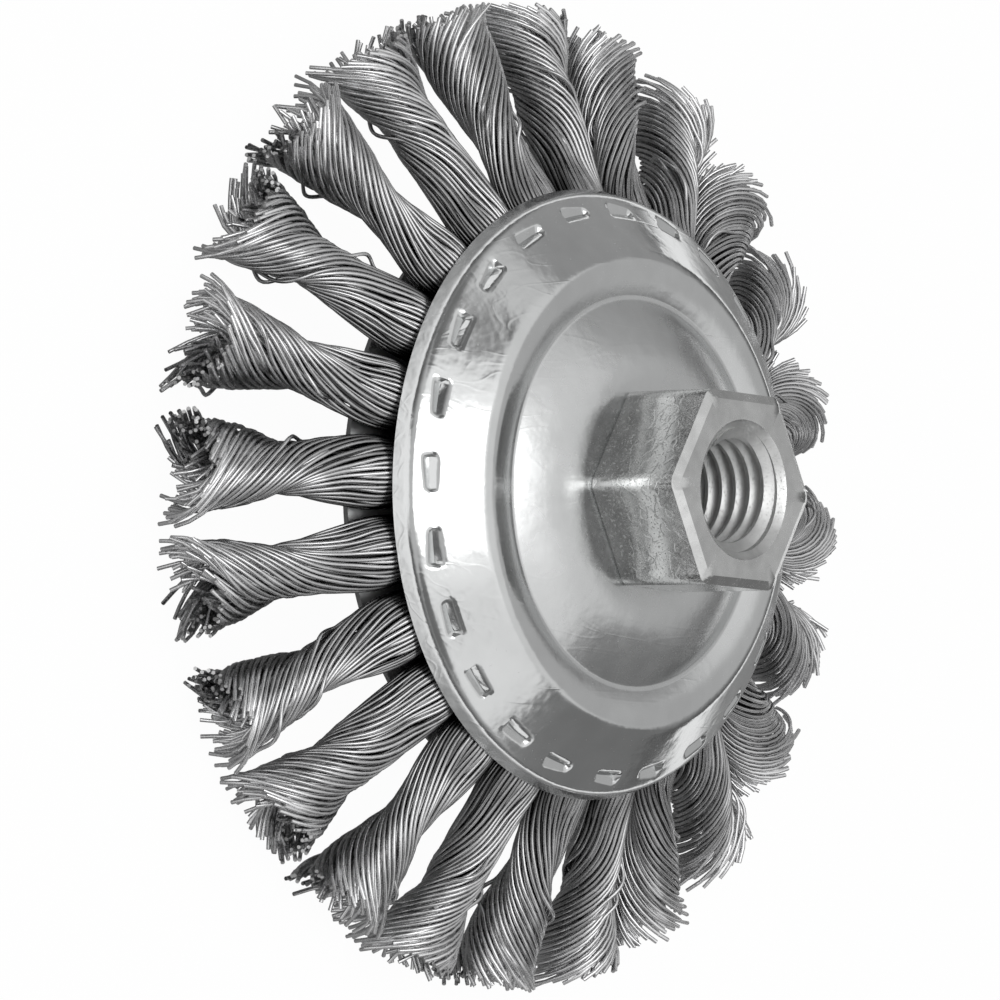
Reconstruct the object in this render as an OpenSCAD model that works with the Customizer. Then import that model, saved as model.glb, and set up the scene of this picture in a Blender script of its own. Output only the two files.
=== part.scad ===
// Knotted conical wire brush: a threaded spindle nut, a pressed cover dish,
// a perforated knot carrier, a work-side back cover and a ring of twisted
// steel-wire knots. The spindle side is up and the brush stands on its wire tips.

/* [Brush] */
// Diameter over the wire tips
brush_d = 115; // [108:1:125]
// Number of knots round the carrier
knot_count = 24; // [20:2:24]
// Angle that the knots lean away from the spindle, in degrees
knot_slope = 24; // [18:1:28]

/* [Knots] */
// Width of a knot where it leaves the rim
knot_rim_w = 8.4; // [6.5:0.1:8.6]
// Thickness of a knot pressed between the two rims
knot_rim_t = 5.4; // [4.6:0.1:6.2]
// Width of a knot at its waist
knot_waist_w = 7.1; // [6:0.1:8]
// Width of the splayed tip
knot_tip_w = 12.2; // [9:0.1:12.6]
// Thickness of the splayed tip
knot_tip_t = 11.4; // [9:0.1:13]
// Twist of a knot between its root and its tip, in degrees
knot_twist = 250; // [120:5:290]
// How much the knots differ from each other, as a share of their size
knot_spread = 0.08; // [0:0.01:0.1]
// Width of the wire loop in its carrier hole
loop_w = 3.8; // [3:0.1:4]
// Thickness of the wire loop
loop_t = 2.2; // [1.6:0.1:2.4]

/* [Knot carrier] */
// Diameter of the carrier plate
carrier_d = 53.2; // [52:0.1:56]
// Thickness of the carrier plate
carrier_t = 2; // [1.5:0.1:2.2]
// Radius of each knot hole
knot_hole_r = 2.45; // [2.3:0.05:2.6]
// Width of the web between a knot hole and the carrier's edge
carrier_web = 1.3; // [1.1:0.05:1.6]

/* [Cover dish] */
// Diameter of the pressed rims
rim_d = 70; // [68:0.5:74]
// Thickness of the sheet
sheet_t = 1.2; // [0.8:0.1:1.4]
// Height of the short skirt at the rim
skirt_h = 2.1; // [1.6:0.1:2.6]
// How far the skirt leans in
skirt_lean = 0.6; // [0.2:0.1:0.9]
// Diameter of the shoulder at the top of the conical band
shoulder_d = 54; // [52:0.5:56]
// Height of the shoulder above the rim
shoulder_h = 7.4; // [6.6:0.1:8.4]
// Diameter where the flat shoulder starts to dip towards the dome
dip_d = 49; // [47.5:0.1:50]
// Diameter of the dome's foot
dome_d = 44.2; // [42:0.1:45]
// Depth of that dip
dip_deep = 0.8; // [0.4:0.1:1.1]
// Height of the nut's seat above the rim
seat_h = 10; // [9.4:0.1:11.5]
// Diameter of the flat seat under the nut
seat_d = 27; // [26:0.1:29]
// Length of each pressed dent, round the band
dent_l = 4; // [3:0.1:4.6]
// Width of each pressed dent, out from the spindle
dent_w = 1.3; // [0.8:0.1:1.5]
// Radius of the circle that the dents lie on
dent_r = 32.6; // [31.2:0.1:32.9]

/* [Spindle nut] */
// Width across the flats
nut_af = 22; // [21:0.5:23]
// Height of the hexagon
nut_h = 12.2; // [10:0.1:15]
// Bore at the crests of the M14 thread
thread_bore_d = 11.84; // [10:0.01:12.4]
// Diameter of the countersunk mouth
mouth_d = 15.9; // [14.6:0.1:17]
// Depth of the countersink
mouth_deep = 1.5; // [1:0.1:2.5]
// Width of the bevel along each flat, on the mouth face
bevel_w = 1; // [0.5:0.1:1.4]
// Height of that bevel
bevel_h = 0.55; // [0.3:0.05:0.8]
// Diameter of the boss that spaces the dish from the carrier
boss_d = 20.8; // [19.6:0.1:21.4]
// Diameter of the neck that is riveted through the plates
neck_d = 16.8; // [16:0.1:18]
// Diameter of the riveted flange
rivet_d = 20.6; // [19.4:0.1:22]
// Thickness of the riveted flange
rivet_t = 1.2; // [0.8:0.1:1.6]

/* [Hidden] */
$fn = 96;

// Clearances
seat_gap = 0.1;    // between a rim and the knots that it presses
loop_gap = 0.45;   // between a wire loop and the carrier plate
cover_gap = 0.2;   // between the wire loops and the back cover
fit_gap = 0.1;     // round the boss and the neck

// Radii
rim_r = rim_d / 2;
carrier_r = carrier_d / 2;
shoulder_r = shoulder_d / 2;
dip_r = dip_d / 2;
dome_r = dome_d / 2;
seat_r = seat_d / 2;

// The knots' centre line, in heights above the plane of the dish's rim.
// Its upper surface just passes under the inner edge of that rim.
knot_half_h = knot_rim_t / 2 / cos(knot_slope);
rim_mid_z = -seat_gap - knot_half_h - sheet_t * tan(knot_slope);
function mid_z(r) = rim_mid_z - (r - rim_r) * tan(knot_slope);

// The carrier lies where the centre line meets its edge.
carrier_z = mid_z(carrier_r);
carrier_top = carrier_z + carrier_t / 2;
carrier_low = carrier_z - carrier_t / 2;
loop_r = carrier_r - carrier_web - 0.1;
loop_in = carrier_t / 2 + loop_gap;
hole_circle_r = loop_r - loop_in - loop_t / 2;

// The knots' root, where the two legs of the loop come together
root_gap = 2.9;
root_r = carrier_r + root_gap;
root_z = mid_z(root_r);
root_w = 2 * PI * root_r / knot_count - 0.7;
leg_r = carrier_r + 0.7;
leg_w = loop_w + 1.8;
rim_run = (rim_r - root_r) / cos(knot_slope);

// The back cover follows the underside of the knots, then runs flat under the loops.
back_rim_z = rim_mid_z - knot_half_h - seat_gap;
back_flat_z = carrier_z - loop_in - loop_t - cover_gap;
back_bend_r = rim_r - (back_flat_z - back_rim_z) / tan(knot_slope);
back_step_r = loop_r - loop_in - loop_t - 0.6;
step_lean = 1;

// One knot, pointing along +X: rings of points along the centre line
ring_n = 16;
half_n = ring_n / 2;
stations = [0, 0.13, 0.25, 0.37, 0.49, 0.6, 0.71, 0.81, 0.91, 0.97, 1];

// No two knots are alike. This gives a number from -1 to 1 for knot i.
function unlike(i, kind) = sin((37 + 14 * kind) * i * i + 50 * kind);
function twist(i) = knot_twist * (1 + 1.5 * knot_spread * unlike(i, 1));
function waist_w(i) = knot_waist_w * (1 + knot_spread * (0.8 * unlike(i, 2) - 0.2));
function tip_share(i) = 1 - knot_spread * (1 + unlike(i, 3)) / 2;
function tip_shift(i) = 8 * knot_spread * unlike(i, 4);
function first_turn(i) = 210 * knot_spread * unlike(i, 5);

// Length of knot i from its root to its tip, and its share up to the waist
end_fill = 0.92;
function tip_rise(i) = end_fill * knot_tip_t / 2 * tip_share(i);
function run(i) = (brush_d / 2 - root_r - tip_rise(i) * sin(knot_slope)) / cos(knot_slope);
function waist_run(i) = rim_run + 0.36 * (run(i) - rim_run);

// Smooth blend from a to b as t goes from 0 to 1
function ease(a, b, t) = a + (b - a) * (3 - 2 * t) * t * t;
// A size along knot i: at its root, at the rim, at the waist and at the tip
function along(i, s, root, rim, tip) =
    let (waist = waist_w(i), at = waist_run(i))
    s < rim_run ? ease(root, rim, s / rim_run)
    : s < at ? ease(rim, waist, (s - rim_run) / (at - rim_run))
    : waist + (tip * tip_share(i) - waist) * pow((s - at) / (run(i) - at), 1.5);
function end_round(t) = t == 1 ? end_fill : 1;
// The twist starts slowly at the root and runs evenly past this share of the length.
even_from = 0.62;
function turned(t) = (t < even_from ? pow(t, 3) / (3 * pow(even_from, 2))
    : t - 2 * even_from / 3) / (1 - 2 * even_from / 3);
// Outline of the two plies, which turn with the twist. They are pressed into one
// oval between the rims, and splay into one tuft at the tip.
ply_offset = 0.3;
pressed_to = 0.15;
parted_at = 0.35;
function offset_at(t) = ply_offset * (1 - t * t * t)
    * ease(0, 1, max(0, min(1, (t - pressed_to) / (parted_at - pressed_to))));
function ply_reach(a, k) = k * abs(cos(a)) + sqrt(pow(1 - k, 2) - pow(k * sin(a), 2));
function ring(i, t) = [for (j = [0 : ring_n - 1])
    let (s = t * run(i),
         a = 180 - 360 * j / ring_n,
         ply = a + first_turn(i) - twist(i) * turned(t),
         k = ply_reach(ply, offset_at(t)) * end_round(t) / 2,
         y = along(i, s, root_w, knot_rim_w, knot_tip_w) * cos(a) * k
             + tip_shift(i) * t * t * t,
         b = along(i, s, knot_rim_t, knot_rim_t, knot_tip_t) * sin(a) * k)
    [root_r + s * cos(knot_slope) + b * sin(knot_slope), y,
     root_z - s * sin(knot_slope) + b * cos(knot_slope)]];

// The loop round the carrier's edge: half sections that turn about the edge
function loop_ring(x, turn, w) = [for (j = [0 : half_n])
    let (a = 180 - 180 * j / half_n, up = loop_in + loop_t * sin(a))
    [x - up * sin(turn), w / 2 * cos(a), carrier_z + up * cos(turn)]];
loop_rings = concat(
    [loop_ring(leg_r, 0, leg_w)],
    [for (turn = [0 : 45 : 180]) loop_ring(loop_r, turn, loop_w)],
    [loop_ring(leg_r, 180, leg_w)]);

loop_points = [for (r = loop_rings) each r];
function tip_centre(i) = [root_r + run(i) * cos(knot_slope) + 0.3, tip_shift(i),
    root_z - run(i) * sin(knot_slope)];
function body_points(i) = [for (t = stations) each ring(i, t)];
function knot_points(i) = concat(body_points(i), [tip_centre(i)], loop_points);
tip_index = len(stations) * ring_n;
last_ring = tip_index - ring_n;
loop_n = half_n + 1;
loop_last = len(loop_rings) - 1;

// Index of point j in half section i; the first and last are the root's own points
function loop_index(i, j) =
    i < 0 ? j
    : i > loop_last ? (ring_n - j) % ring_n
    : tip_index + 1 + i * loop_n + j;

side_faces = [for (i = [0 : len(stations) - 2], j = [0 : ring_n - 1])
    let (k = (j + 1) % ring_n)
    [i * ring_n + j, (i + 1) * ring_n + j, (i + 1) * ring_n + k, i * ring_n + k]];
tip_faces = [for (j = [0 : ring_n - 1])
    [last_ring + j, tip_index, last_ring + (j + 1) % ring_n]];
loop_faces = [for (i = [-1 : loop_last], j = [0 : half_n])
    let (k = (j + 1) % loop_n)
    [loop_index(i, j), loop_index(i, k), loop_index(i + 1, k), loop_index(i + 1, j)]];
knot_faces = concat(side_faces, tip_faces, loop_faces);

// The rim plane stands this far above the lowest wire tip.
rim_z = -min([for (i = [1 : knot_count], p = body_points(i)) p.z]);

// Points of a sheet: a path and the same path moved square to itself
function unit(v) = v / norm(v);
function left_of(v) = [-v.y, v.x];
function side_at(path, i) = left_of(unit(path[i + 1] - path[i]));
function moved(path, d) = [for (i = [0 : len(path) - 1])
    let (a = side_at(path, max(i - 1, 0)), b = side_at(path, min(i, len(path) - 2)))
    path[i] + d * (a + b) / (1 + a * b)];
function reversed(list) = [for (i = [len(list) - 1 : -1 : 0]) list[i]];
function after_first(list) = [for (i = [1 : len(list) - 1]) list[i]];
// A quarter-like curve from a to c that is pulled towards b
function curve(a, b, c, n) = [for (i = [0 : n])
    let (t = i / n) (1 - t) * (1 - t) * a + 2 * t * (1 - t) * b + t * t * c];
// A corner at b, rounded over a length on each side
function corner(a, b, c, cut, n) =
    curve(b + cut * unit(a - b), b, b + cut * unit(c - b), n);

// Upper surface of the dish, from its rim to the hole for the boss
skirt_top = [rim_r - skirt_lean, skirt_h];
rim_foot = [rim_r, 0];
shoulder = [shoulder_r, shoulder_h];
dip_out = [dip_r, shoulder_h];
dip_foot = [dome_r + 0.4, shoulder_h - dip_deep];
dome_foot = [dome_r, shoulder_h - dip_deep];
seat_edge = [seat_r, seat_h];
dish_hole = [boss_d / 2 + fit_gap, seat_h];
shoulder_bend = corner(skirt_top, shoulder, dip_out, 1.1, 4);
dip = curve(shoulder_bend[4], dip_out, dip_foot, 6);
dish_top = concat(
    [rim_foot],
    corner(rim_foot, skirt_top, shoulder, 0.7, 3),
    shoulder_bend,
    after_first(dip),
    curve(dome_foot, [seat_r + 0.42 * (dome_r - seat_r), seat_h - 0.3], seat_edge, 9),
    [dish_hole]);
// The skirt's edge is trimmed level, so that it stands on the knots.
trim_r = rim_r - sheet_t / cos(atan2(skirt_lean, skirt_h));
dish_under = concat([[trim_r, 0]], after_first(moved(dish_top, sheet_t)));

// Upper surface of the back cover, from its rim to the hole for the neck
back_foot = [rim_r, back_rim_z];
back_bend = [back_bend_r, back_flat_z];
back_step = [back_step_r, back_flat_z];
back_inner = [back_step_r - step_lean, carrier_low];
back_hole = [neck_d / 2 + fit_gap, carrier_low];
back_top = concat(
    [back_foot],
    corner(back_foot, back_bend, back_step, 1, 3),
    corner(back_bend, back_step, back_inner, 0.5, 3),
    corner(back_step, back_inner, back_hole, 0.5, 3),
    [back_hole]);

// A turned sheet between the paths of its upper and its lower surface
module sheet(top, under) {
    rotate_extrude() polygon(concat(top, reversed(under)));
}

module ring_of(count, r) {
    for (i = [0 : count - 1])
        rotate([0, 0, 360 / count * i - 90]) translate([r, 0, 0]) children();
}

// Height of the conical band at a radius
function band_z(r) = skirt_h
    + (skirt_top.x - r) * (shoulder_h - skirt_h) / (skirt_top.x - shoulder_r);

// Each dent is pressed by a flat punch, so it has a level floor.
module cover_dish() {
    color("silver") translate([0, 0, rim_z]) difference() {
        sheet(dish_top, dish_under);
        ring_of(knot_count, dent_r - dent_w / 2)
            translate([0, -dent_l / 2, band_z(dent_r + dent_w / 2)])
            cube([2 * dent_w, dent_l, 2]);
    }
}

module knot_carrier() {
    color("slategray") translate([0, 0, rim_z + carrier_low]) difference() {
        cylinder(r = carrier_r, h = carrier_t);
        translate([0, 0, -1]) cylinder(r = neck_d / 2 + fit_gap, h = carrier_t + 2);
        ring_of(knot_count, hole_circle_r)
            translate([0, 0, -1]) cylinder(r = knot_hole_r, h = carrier_t + 2, $fn = 48);
    }
}

module back_cover() {
    color("silver") translate([0, 0, rim_z]) sheet(back_top, moved(back_top, sheet_t));
}

// The hexagon with a corner at the first knot, bevelled along its upper edges
module hexagon() {
    flat_r = nut_af / 2;
    corner_r = flat_r / cos(30) - 0.25;
    bevel_angle = atan2(bevel_h, bevel_w);
    difference() {
        intersection() {
            rotate([0, 0, 30]) cylinder(r = flat_r / cos(30), h = nut_h, $fn = 6);
            cylinder(r = corner_r, h = nut_h);
        }
        for (i = [0 : 5])
            rotate([0, 0, 60 * i]) translate([flat_r - bevel_w, -nut_af, nut_h])
            rotate([0, bevel_angle, 0]) cube([3 * bevel_w, 2 * nut_af, 2 * bevel_w]);
    }
}

module spindle_nut() {
    nut_top = seat_h + nut_h;
    rivet_z = carrier_low - sheet_t;
    mouth_slope = (mouth_d - thread_bore_d) / 2 / mouth_deep;
    color("lightgray") translate([0, 0, rim_z]) difference() {
        union() {
            translate([0, 0, seat_h]) hexagon();
            translate([0, 0, carrier_top]) cylinder(d = boss_d, h = seat_h - carrier_top);
            translate([0, 0, rivet_z]) cylinder(d = neck_d, h = carrier_top - rivet_z);
            translate([0, 0, rivet_z - rivet_t])
                cylinder(d1 = neck_d, d2 = rivet_d, h = rivet_t);
        }
        translate([0, 0, rivet_z - rivet_t - 1])
            cylinder(d = thread_bore_d, h = nut_top - rivet_z + rivet_t + 2);
        translate([0, 0, nut_top - mouth_deep])
            cylinder(d1 = thread_bore_d, d2 = mouth_d + 2 * mouth_slope, h = mouth_deep + 1);
    }
}

// Neighbouring knots are twisted in opposite directions.
module knot(i) {
    if (i < knot_count)
        color(i % 2 == 0 ? "dimgray" : "gray")
        translate([0, 0, rim_z]) rotate([0, 0, 360 / knot_count * i - 90])
        mirror([0, (i + 1) % 2, 0]) polyhedron(knot_points(i + 1), knot_faces);
}

spindle_nut();
cover_dish();
knot_carrier();
back_cover();
knot(0);  // knot_01
knot(1);  // knot_02
knot(2);  // knot_03
knot(3);  // knot_04
knot(4);  // knot_05
knot(5);  // knot_06
knot(6);  // knot_07
knot(7);  // knot_08
knot(8);  // knot_09
knot(9);  // knot_10
knot(10);  // knot_11
knot(11);  // knot_12
knot(12);  // knot_13
knot(13);  // knot_14
knot(14);  // knot_15
knot(15);  // knot_16
knot(16);  // knot_17
knot(17);  // knot_18
knot(18);  // knot_19
knot(19);  // knot_20
knot(20);  // knot_21
knot(21);  // knot_22
knot(22);  // knot_23
knot(23);  // knot_24
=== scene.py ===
"""Looks of a knotted conical wire brush: twisted wire knots, pressed dish and threaded nut."""

import math
import random
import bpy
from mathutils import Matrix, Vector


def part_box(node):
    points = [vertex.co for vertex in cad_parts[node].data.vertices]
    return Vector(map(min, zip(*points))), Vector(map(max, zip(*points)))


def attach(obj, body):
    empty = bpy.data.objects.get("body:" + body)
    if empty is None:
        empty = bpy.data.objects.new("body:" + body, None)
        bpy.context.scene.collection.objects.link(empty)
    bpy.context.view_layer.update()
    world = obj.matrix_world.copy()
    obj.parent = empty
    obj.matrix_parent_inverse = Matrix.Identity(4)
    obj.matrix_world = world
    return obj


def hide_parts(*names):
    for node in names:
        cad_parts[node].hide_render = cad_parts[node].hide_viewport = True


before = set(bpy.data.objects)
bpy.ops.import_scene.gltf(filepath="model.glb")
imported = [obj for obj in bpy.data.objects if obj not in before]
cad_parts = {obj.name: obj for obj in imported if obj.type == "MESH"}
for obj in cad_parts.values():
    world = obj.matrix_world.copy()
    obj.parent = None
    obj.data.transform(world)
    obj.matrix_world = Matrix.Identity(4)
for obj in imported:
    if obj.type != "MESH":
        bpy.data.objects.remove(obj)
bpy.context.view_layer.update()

import bmesh
import bpy
from bpy.props import FloatProperty, FloatVectorProperty, IntProperty, PointerProperty
from mathutils import Matrix, Vector

bl_info = {
    "name": "Knotted wire brush",
    "version": (1, 0, 0),
    "blender": (4, 5, 0),
    "location": "View3D > Sidebar > Wire brush",
    "description": "Builds a knotted conical wire brush with its stage",
    "category": "Add Mesh",
}

MM = 0.001
DEGREE = math.radians(1)
# Places closer than this are the same place
NEAR = 1e-6

# Places that the frame gives
DISH_LOW, DISH_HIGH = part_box("cover_dish")
NUT_LOW, NUT_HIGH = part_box("spindle_nut")
COVER_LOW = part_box("back_cover")[0]
CARRIER_LOW, CARRIER_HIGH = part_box("knot_carrier")
TIP_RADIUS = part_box("knot_07")[1].x
RIM_Z = DISH_LOW.z
RIM_RADIUS = DISH_HIGH.x
CARRIER_RADIUS = CARRIER_HIGH.x
CARRIER_Z = (CARRIER_LOW.z + CARRIER_HIGH.z) / 2
CARRIER_THICKNESS = CARRIER_HIGH.z - CARRIER_LOW.z


def amount(name, description, value, **kind):
    """A number, with its kind and unit where it has them."""
    return FloatProperty(name=name, description=description, default=value, **kind)


def length(name, description, millimetres):
    """A size, given in millimetres and kept in metres."""
    return amount(name, description, millimetres * MM,
                  subtype="DISTANCE", unit="LENGTH", precision=5)


def angle(name, description, degrees):
    """An angle, given in degrees and kept in radians."""
    return amount(name, description, degrees * DEGREE, subtype="ANGLE", unit="ROTATION")


def colour(name, description, value):
    """A colour as red, green and blue."""
    return FloatVectorProperty(
        name=name, description=description, default=value, size=3,
        min=0, max=1, subtype="COLOR")


def whole(name, description, value):
    """A whole number."""
    return IntProperty(name=name, description=description, default=value)


class KnotSizes(bpy.types.PropertyGroup):
    """Sizes of the twisted knots and their wires"""
    count: whole("Knots", "Knots round the carrier", 24)
    slope: angle("Slope", "How far the knots lean away from the spindle", 24)
    rim_width: length("Width at the rim", "Width where a knot leaves the rim", 8.4)
    rim_thickness: length("Thickness at the rim", "Thickness between the rims", 5.4)
    waist_width: length("Waist", "Width at the waist", 7.1)
    tip_width: length("Tip width", "Width of the splayed tip", 12.2)
    tip_thickness: length("Tip thickness", "Thickness of the splayed tip", 11.4)
    twist: angle("Twist", "Twist between the root and the tip", 250)
    ply_offset: amount("Ply offset", "Share of the half width between the plies' centres", 0.3)
    spread: amount("Spread", "How much the knots differ from each other", 0.08)
    root_gap: length("Root gap", "From the carrier's edge to the crotch of the loop", 2.9)
    root_space: length("Root space", "Space between two knots at their roots", 0.7)
    loop_width: length("Loop width", "Width of the loop in its hole", 3.8)
    loop_thickness: length("Loop thickness", "Thickness of the loop", 2.2)
    loop_gap: length("Loop gap", "From the loop to the carrier plate", 0.45)
    leg_gap: length("Leg gap", "From the carrier's edge to the loop's legs", 0.7)
    leg_spread: length("Leg spread", "How far each leg spreads there", 0.9)
    web: length("Web", "From the loop's turn to the carrier's edge", 1.4)
    wire: length("Wire", "Diameter of the wire", 0.48)
    core: length("Core", "Diameter of the core that stands for hidden wires", 3.6)
    outer_wires: whole("Outer wires", "Wires on a knot's surface", 42)
    inner_wires: whole("Inner wires", "Wires under the surface", 24)
    tip_wires: whole("Tip wires", "Wires seen only in the tip", 60)
    loose_wires: whole("Loose wires", "Wires that stand off a knot", 5)
    seed: whole("Seed", "Seed of the wires' disorder", 7)


class DishSizes(bpy.types.PropertyGroup):
    """Sizes of the pressed sheets"""
    sheet: length("Sheet", "Thickness of the sheet", 1.2)
    skirt_height: length("Skirt height", "Height of the skirt at the rim", 2.1)
    skirt_lean: length("Skirt lean", "How far the skirt leans in", 0.6)
    shoulder_radius: length("Shoulder radius", "Radius at the top of the band", 27)
    shoulder_height: length("Shoulder height", "Height of the shoulder", 7.4)
    dip_radius: length("Dip radius", "Where the shoulder starts to dip to the dome", 24.5)
    dip_depth: length("Dip depth", "Depth of the dip", 0.8)
    dome_radius: length("Dome radius", "Radius of the dome's foot", 22.1)
    seat_radius: length("Seat radius", "Radius of the nut's seat", 13.5)
    seat_height: length("Seat height", "Height of the nut's seat", 10)
    hole_radius: length("Hole radius", "Hole for the nut's boss", 10.5)
    dent_length: length("Dent length", "Length of a dent, round the band", 4)
    dent_width: length("Dent width", "Width of a dent, out from the spindle", 1.3)
    dent_radius: length("Dent radius", "Radius of the circle of dents", 32.6)
    dent_edge: length("Dent edge", "Width of a dent's soft edge", 0.35)
    dent_tilt: angle("Dent tilt", "How far the punch may tilt to one side", 7)
    dent_slide: length("Dent slide", "How far a dent may slide along the band", 0.35)
    seed: whole("Seed", "Seed of the dents' small differences", 4)


class CoverSizes(bpy.types.PropertyGroup):
    """Sizes of the work-side cover"""
    bend_radius: length("Bend radius", "Where the cone meets the flat ring", 28.38)
    step_radius: length("Step radius", "Where the flat ring steps up", 20.95)
    step_lean: length("Step lean", "How far the step leans in", 1)
    hole_radius: length("Hole radius", "Hole for the nut's neck", 8.5)


class NutSizes(bpy.types.PropertyGroup):
    """Sizes of the spindle nut"""
    across_flats: length("Across flats", "Width across the flats", 22)
    corner_cut: length("Corner cut", "How much the corners are turned down", 0.25)
    bevel_width: length("Bevel width", "Width of the bevel along each flat", 1)
    bevel_height: length("Bevel height", "Height of that bevel", 0.55)
    mouth_radius: length("Mouth radius", "Radius of the countersunk mouth", 7.95)
    mouth_depth: length("Mouth depth", "Depth of the countersink", 1.5)
    crest_radius: length("Crest radius", "Radius at the thread's crests", 5.92)
    root_radius: length("Root radius", "Radius at the thread's roots", 7.04)
    pitch: length("Pitch", "Pitch of the thread", 2)
    boss_radius: length("Boss radius", "Radius of the spacing boss", 10.4)
    neck_radius: length("Neck radius", "Radius of the riveted neck", 8.4)
    rivet_radius: length("Rivet radius", "Radius of the riveted flange", 10.3)
    rivet_thickness: length("Rivet thickness", "Thickness of the flange", 1.2)


class Finishes(bpy.types.PropertyGroup):
    """Colours of the metals"""
    dish: colour("Dish", "Bright zinc on the pressed sheet", (0.80, 0.81, 0.81))
    nut: colour("Nut", "Satin zinc on the turned nut", (0.84, 0.845, 0.84))
    wire: colour("Wire", "Hard-drawn steel wire", (0.74, 0.74, 0.745))
    wire_end: colour("Wire end", "Freshly cut wire ends", (0.72, 0.72, 0.72))
    carrier: colour("Carrier", "Plain punched plate", (0.38, 0.38, 0.39))
    floor: colour("Floor", "Pale floor", (0.3, 0.3, 0.3))


class StageSizes(bpy.types.PropertyGroup):
    """Camera and light"""
    distance: length("Distance", "From the rim's centre to the camera", 862)
    lens: amount("Lens", "Focal length", 270.6, subtype="DISTANCE_CAMERA")
    off_axis: angle("Off axis", "Between the spindle's axis and the view", 50.34)
    azimuth: angle("Azimuth", "Direction of the camera round the axis", -84.67)
    roll: angle("Roll", "Turn of the picture", -1.68)
    aim_right: length("Aim right", "Rim centre's place right of the picture's centre", 10.41)
    aim_up: length("Aim up", "Rim centre's place above the picture's centre", 0.64)
    light: amount("Light", "Strength of the soft box", 1.1)
    light_side: FloatVectorProperty(
        name="Light's side", description="From the brush to the soft box",
        default=(-0.07, -0.48, 0.87), subtype="DIRECTION")
    light_distance: length("Light's distance", "From the rim's centre to the soft box", 800)
    light_width: length("Light's width", "Width of the soft box", 500)
    world: amount("World", "Strength of the surroundings", 1)


PROPERTY_GROUPS = {
    "brush_knots": KnotSizes,
    "brush_dish": DishSizes,
    "brush_cover": CoverSizes,
    "brush_nut": NutSizes,
    "brush_finish": Finishes,
    "brush_stage": StageSizes,
}


# Shared shapes

def ease(a, b, t):
    """A smooth change from a to b as t goes from 0 to 1."""
    return a + (b - a) * (3 - 2 * t) * t * t


def risen(t, start, over):
    """0 before the start, 1 once the rise is over, and smooth between them."""
    return ease(0, 1, min(max((t - start) / over, 0), 1))


def spaced(low, high, count):
    """Evenly spaced numbers from low to high."""
    return [low + (high - low) * i / (count - 1) for i in range(count)]


def curve(a, b, c, steps):
    """Points of a curve from a to c that is pulled towards b."""
    return [a * (1 - t) ** 2 + b * 2 * t * (1 - t) + c * t * t for t in spaced(0, 1, steps + 1)]


def corner(a, b, c, cut, steps):
    """A corner at b between a and c, rounded over a length on each side."""
    return curve(b + (a - b).normalized() * cut, b, b + (c - b).normalized() * cut, steps)


def moved(path, distance):
    """The same path, moved square to itself towards its left."""
    sides = [(q - p).normalized().orthogonal() for p, q in zip(path, path[1:])]
    result = []
    for i, point in enumerate(path):
        a, b = sides[max(i - 1, 0)], sides[min(i, len(sides) - 1)]
        result.append(point + distance * (a + b) / (1 + a.dot(b)))
    return result


def filled(path, step):
    """The path with points added so that no stretch is longer than step."""
    result = [path[0]]
    for a, b in zip(path, path[1:]):
        pieces = max(1, math.ceil((b - a).length / step - 0.01))
        result += [a.lerp(b, (i + 1) / pieces) for i in range(pieces)]
    return result


def placed(name, data):
    """Makes an object of the data and puts it in the scene."""
    item = bpy.data.objects.new(name, data)
    bpy.context.scene.collection.objects.link(item)
    return item


def taken_mesh(holder):
    """The finished mesh of an object, which is removed."""
    seen = holder.evaluated_get(bpy.context.evaluated_depsgraph_get())
    mesh = bpy.data.meshes.new_from_object(seen)
    bpy.data.objects.remove(holder)
    return mesh


def turned(profile, steps):
    """A closed profile of radius and height turned about the axis, as a bmesh."""
    bm = bmesh.new()
    verts = [bm.verts.new((point.x, 0, point.y)) for point in profile]
    for a, b in zip(verts, verts[1:] + verts[:1]):
        bm.edges.new((a, b))
    mesh = bpy.data.meshes.new("profile")
    bm.to_mesh(mesh)
    bm.clear()
    holder = placed("profile", mesh)
    screw = holder.modifiers.new("turned", "SCREW")
    screw.steps = screw.render_steps = steps
    screw.use_merge_vertices = True
    screw.merge_threshold = NEAR / 10
    body = taken_mesh(holder)
    bm.from_mesh(body)
    bpy.data.meshes.remove(mesh)
    bpy.data.meshes.remove(body)
    bmesh.ops.recalc_face_normals(bm, faces=bm.faces)
    return bm


def finished_piece(name, bm, material, node, sharp=35 * DEGREE):
    """Makes a piece of the bmesh, smooth but for its sharp edges."""
    mesh = bpy.data.meshes.new(name)
    bm.to_mesh(mesh)
    bm.free()
    mesh.shade_smooth()
    mesh.set_sharp_from_angle(angle=sharp)
    mesh.materials.append(material)
    placed_piece(name, mesh, node)


def placed_piece(name, mesh, node):
    """Makes an object of the mesh, hangs it under the root, and hides the CAD node that it stands
    for.
    """
    piece = placed(name, mesh)
    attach(piece, "root")
    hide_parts(node)


# Materials

# Tones of a wire, from painted shade deep in the knot to painted light at its tip, and the shades
# that they stand for
WIRE_TONES = (-1.0, 1.6)
WIRE_SHADES = (0.05, 1.4)


def feed(tree, socket, value):
    """Gives an input a value, or links it to a socket."""
    if isinstance(value, bpy.types.NodeSocket):
        tree.links.new(value, socket)
    else:
        socket.default_value = value


def new_node(tree, kind, settings=None, **inputs):
    """Adds a node. Inputs are values or sockets, by the names of the node's inputs."""
    node = tree.nodes.new(kind)
    for key, value in (settings or {}).items():
        setattr(node, key, value)
    for key, value in inputs.items():
        feed(tree, node.inputs[key.replace("_", " ")], value)
    return node


def worked_out(tree, kind, operation, *values):
    """Adds a Math, Vector Math or Mix Shader node, and gives its outputs."""
    node = new_node(tree, "ShaderNode" + kind, operation and {"operation": operation})
    for socket, value in zip(node.inputs, values):
        feed(tree, socket, value)
    return node.outputs


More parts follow.
